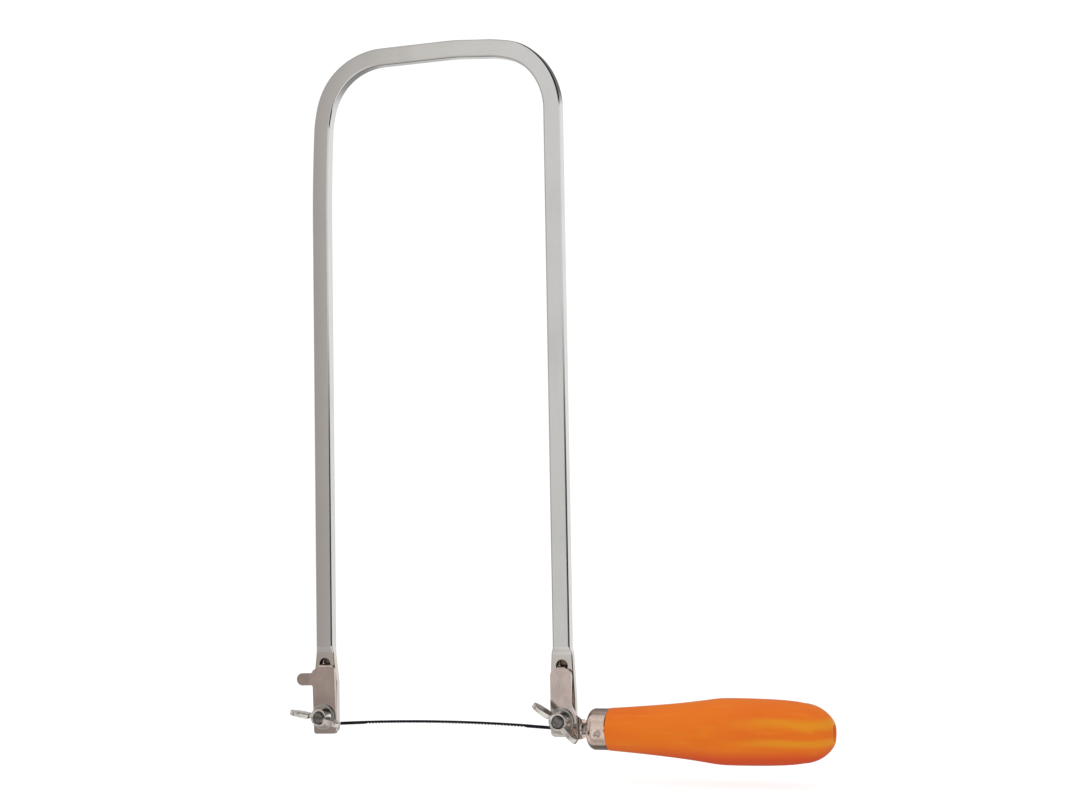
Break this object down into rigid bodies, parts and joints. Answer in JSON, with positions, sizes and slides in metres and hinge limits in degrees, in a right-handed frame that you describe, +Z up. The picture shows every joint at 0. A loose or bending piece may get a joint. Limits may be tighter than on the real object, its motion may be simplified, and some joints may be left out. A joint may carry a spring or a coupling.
{
  "type": "fret saw",
  "caption": "Hand fret saw: deep bent steel bow, fine blade held in hooked clamp plates by wing nuts, turned wooden handle in a metal ferrule.",
  "frame": {"origin": "on the handle's axis, at the middle of the wooden grip", "axes": "+X from the toe clamp to the butt of the handle, +Y from the clamps' front to the back of the bow, +Z up the bow"},
  "size_m": [0.245, 0.0294, 0.322],
  "materials": {
    "nickel": "bright nickel plate over steel, lightly worn",
    "plate_nickel": "nickel plate over stamped sheet, satin",
    "zinc": "zinc plate, dull",
    "dark_steel": "plain steel, darkened",
    "blued_steel": "hardened and blued",
    "orange_lacquer": "turned hardwood under orange gloss lacquer"
  },
  "bodies": {
    "handle": {"handle": "orange_lacquer", "ferrule": "nickel", "ferrule_pin": "dark_steel", "tang": "dark_steel", "heel_clamp_plate": "plate_nickel"},
    "bow": {"bow_frame": "nickel", "toe_clamp_bolt": "dark_steel", "heel_clamp_bolt": "dark_steel"},
    "toe_plate": {"toe_clamp_plate": "plate_nickel"},
    "toe_washer": {"toe_washer": "zinc"},
    "toe_wing_nut": {"toe_wing_nut": "nickel"},
    "heel_washer": {"heel_washer": "zinc"},
    "heel_wing_nut": {"heel_wing_nut": "nickel"},
    "blade": {"saw_blade": "blued_steel"}
  },
  "joints": [
    {"name": "heel_jaw", "type": "hinge", "parent": "handle", "child": "bow", "pos_m": [-0.0692, -0.0027, 0.0255], "axis": [1, 0, 0], "range_deg": [0, 2.8]},
    {"name": "heel_washer_slide", "type": "slide", "parent": "bow", "child": "heel_washer", "axis": [0, -1, 0], "range_m": [0, 0.0016]},
    {"name": "heel_nut_spin", "type": "hinge", "parent": "heel_washer", "child": "heel_wing_nut", "pos_m": [-0.0692, -0.00555, 0.0035], "axis": [0, -1, 0], "range_deg": [0, 720]},
    {"name": "toe_jaw", "type": "hinge", "parent": "bow", "child": "toe_plate", "pos_m": [-0.1832, -0.0027, 0.0255], "axis": [-1, 0, 0], "range_deg": [0, 2.8]},
    {"name": "toe_washer_slide", "type": "slide", "parent": "bow", "child": "toe_washer", "axis": [0, -1, 0], "range_m": [0, 0.0016]},
    {"name": "toe_nut_spin", "type": "hinge", "parent": "toe_washer", "child": "toe_wing_nut", "pos_m": [-0.1832, -0.00555, 0.0035], "axis": [0, -1, 0], "range_deg": [0, 720]},
    {"name": "blade_release", "type": "slide", "parent": "bow", "child": "blade", "axis": [0, 0, -1], "range_m": [0, 0.02]}
  ],
  "couplings": [
    {"joint": "heel_washer_slide", "follows": "heel_jaw", "m_per_rad": 0.03274},
    {"joint": "heel_nut_spin", "follows": "heel_jaw", "ratio": 257.14},
    {"joint": "toe_washer_slide", "follows": "toe_nut_spin", "m_per_rad": 0.00012732},
    {"joint": "toe_jaw", "follows": "toe_nut_spin", "ratio": 0.0038889}
  ]
}
